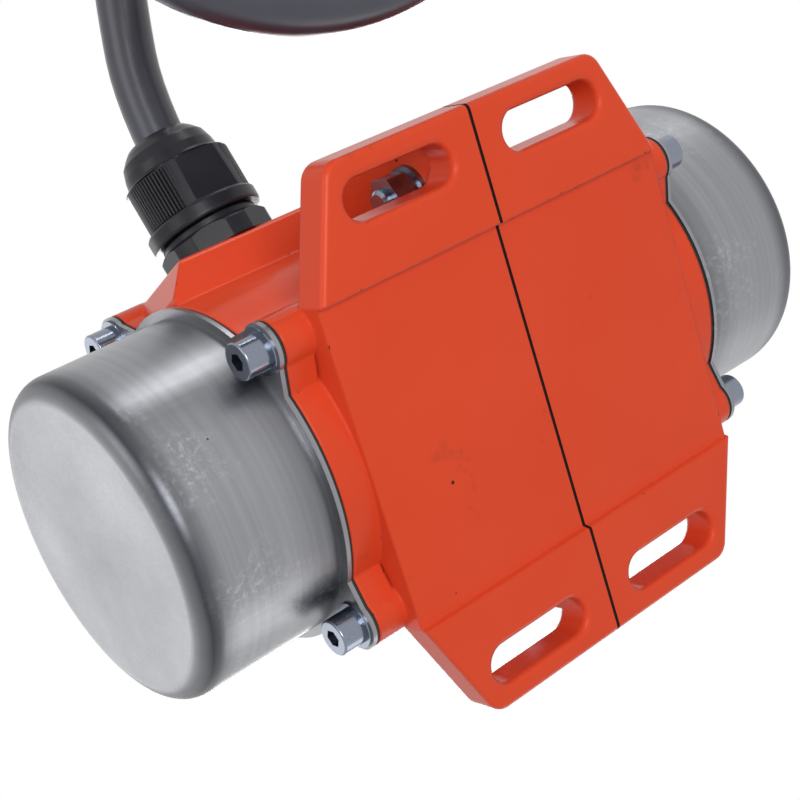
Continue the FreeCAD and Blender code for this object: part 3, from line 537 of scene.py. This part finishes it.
# ---- stage: a white floor seen from above only, soft light from all round ----------------------
SKY_LIGHT = 0.42                         # strength of the light from all round
FLOOR_HALF = 3.0
FLOOR_DROP = 0.2 * MM                    # keeps the floor clear of the feet
FLOOR_WHITE = 0.78                       # share of the light that the floor gives back
FLOOR_GLOW = 0.30                        # lifts the floor towards the white behind it
LAMP_AIM = Vector((0, 0.01, 0.035))
# Name, place, diameter in metres, power in watts.
LAMPS = [("front_below", (0.40, 0.35, -0.80), 0.5, 6.2),
         ("gland_side", (-0.42, 0.85, 0.08), 0.30, 2.3),
         ("left", (0.80, 0.45, 0.05), 0.5, 1.2),
         ("above", (0.35, -0.31, 0.88), 0.6, 0.9),
         ("low_side", (-0.43, -0.88, -0.10), 0.5, 0.9),
         ("behind", (-0.45, -0.35, 0.80), 0.6, 5.0)]


def add_world():
    """Soft light from all round, which turns pure white for what the camera sees directly, in
    gloss or through glass."""
    world = bpy.data.worlds.new("studio")
    tree = empty_tree(world)
    path = add(tree, "ShaderNodeLightPath").outputs
    seen = add(tree, "ShaderNodeMath", {0: path["Is Camera Ray"], 1: path["Is Glossy Ray"]},
               operation="MAXIMUM")
    seen = add(tree, "ShaderNodeMath", {0: seen, 1: path["Is Transmission Ray"]},
               operation="MAXIMUM")
    level = add(tree, "ShaderNodeMapRange", {"Value": seen, "To Min": SKY_LIGHT, "To Max": 1.0})
    light = add(tree, "ShaderNodeBackground", {"Color": linear("#FFFFFF"), "Strength": level})
    add(tree, "ShaderNodeOutputWorld", {"Surface": light})
    bpy.context.scene.world = world


def matt_white_floor():
    """Matt white board with a faint glow of its own, clear to all but a camera above it."""
    mat = bpy.data.materials.new("matt_white_floor")
    tree = empty_tree(mat)
    matt = add(tree, "ShaderNodeBsdfDiffuse", {"Color": (FLOOR_WHITE,) * 3 + (1.0,)})
    glow = add(tree, "ShaderNodeEmission", {"Color": linear("#FFFFFF"), "Strength": FLOOR_GLOW})
    white = add(tree, "ShaderNodeAddShader", {0: matt, 1: glow})
    clear = add(tree, "ShaderNodeBsdfTransparent")
    from_below = add(tree, "ShaderNodeNewGeometry").outputs["Backfacing"]
    from_above = add(tree, "ShaderNodeMath", {0: 1.0, 1: from_below}, operation="SUBTRACT")
    to_camera = add(tree, "ShaderNodeLightPath").outputs["Is Camera Ray"]
    seen = add(tree, "ShaderNodeMath", {0: from_above, 1: to_camera}, operation="MULTIPLY")
    board = add(tree, "ShaderNodeMixShader", {0: seen, 1: clear, 2: white})
    add(tree, "ShaderNodeOutputMaterial", {"Surface": board})
    return mat


def add_floor():
    """The motor is seen from under the floor too, so it shows only to a camera above it."""
    mesh = bpy.data.meshes.new("floor")
    corners = [(x * FLOOR_HALF, y * FLOOR_HALF, 0) for x, y in ((-1, -1), (1, -1), (1, 1), (-1, 1))]
    mesh.from_pydata(corners, [], [(0, 1, 2, 3)])
    mesh.materials.append(matt_white_floor())
    floor = bpy.data.objects.new("floor", mesh)
    bpy.context.scene.collection.objects.link(floor)
    floor.location.z = -FLOOR_DROP


def add_lamp(name, at, size, power):
    data = bpy.data.lights.new(name, "AREA")
    data.shape = "DISK"
    data.size = size
    data.energy = power
    lamp = bpy.data.objects.new(name, data)
    aim = LAMP_AIM - Vector(at)
    lamp.matrix_world = Matrix.Translation(at) @ aim.to_track_quat("-Z", "Y").to_matrix().to_4x4()
    bpy.context.scene.collection.objects.link(lamp)


add_world()
add_floor()
for lamp_row in LAMPS:
    add_lamp(*lamp_row)
bpy.context.scene.view_settings.view_transform = "Standard"
